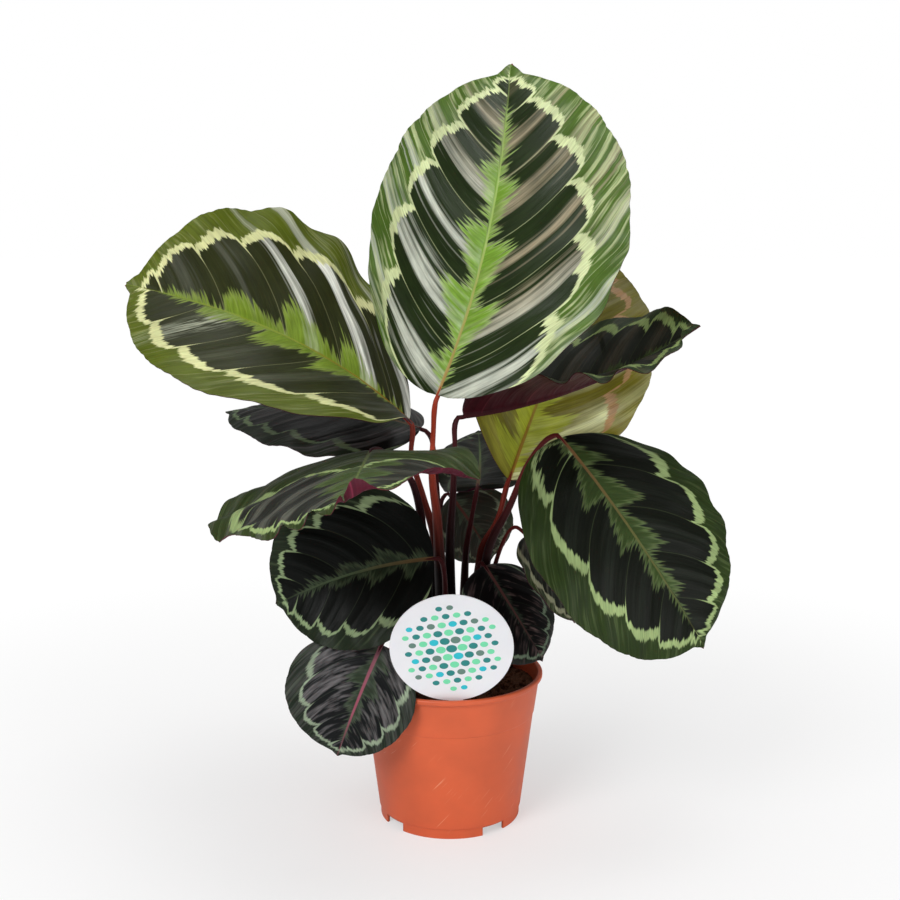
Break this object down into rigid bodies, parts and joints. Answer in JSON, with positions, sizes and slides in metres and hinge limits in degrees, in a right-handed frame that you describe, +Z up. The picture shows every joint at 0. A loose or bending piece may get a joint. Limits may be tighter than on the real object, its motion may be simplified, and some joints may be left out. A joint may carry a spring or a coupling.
{
  "type": "potted calathea plant",
  "caption": "Calathea with large round patterned leaves on slender stalks, in a terracotta-coloured plastic nursery pot with a round stick-in label.",
  "frame": {"origin": "middle of the whole plant's footprint, at the level the pot stands on", "axes": "+Z up, -Y towards the side that the label faces, +X to the right seen from that side"},
  "size_m": [0.3749, 0.3032, 0.478],
  "materials": {
    "pot_plastic": "satin moulded polypropylene",
    "compost": "rough crumbly peat",
    "label_card": "printed plastic sheet",
    "leaf_large": "waxy, patterned green above and purple beneath",
    "leaf_olive": "waxy, yellow-olive with a peach ring",
    "leaf_dark": "waxy, near-black green with a pale ring, purple beneath",
    "leaf_stalk": "smooth maroon skin"
  },
  "bodies": {
    "root": {"pot": "pot_plastic", "soil": "compost", "label": "label_card", "blade_01": "leaf_large", "blade_02": "leaf_large", "blade_03": "leaf_dark", "blade_04": "leaf_olive", "blade_05": "leaf_dark", "blade_06": "leaf_dark", "blade_07": "leaf_dark", "blade_08": "leaf_dark", "blade_09": "leaf_dark", "blade_10": "leaf_dark", "blade_11": "leaf_dark", "blade_12": "leaf_dark", "blade_13": "leaf_dark", "stalk_01": "leaf_stalk", "stalk_02": "leaf_stalk", "stalk_03": "leaf_stalk", "stalk_04": "leaf_stalk", "stalk_05": "leaf_stalk", "stalk_06": "leaf_stalk", "stalk_07": "leaf_stalk", "stalk_08": "leaf_stalk", "stalk_09": "leaf_stalk", "stalk_10": "leaf_stalk", "stalk_11": "leaf_stalk", "stalk_12": "leaf_stalk", "stalk_13": "leaf_stalk"}
  },
  "joints": []
}
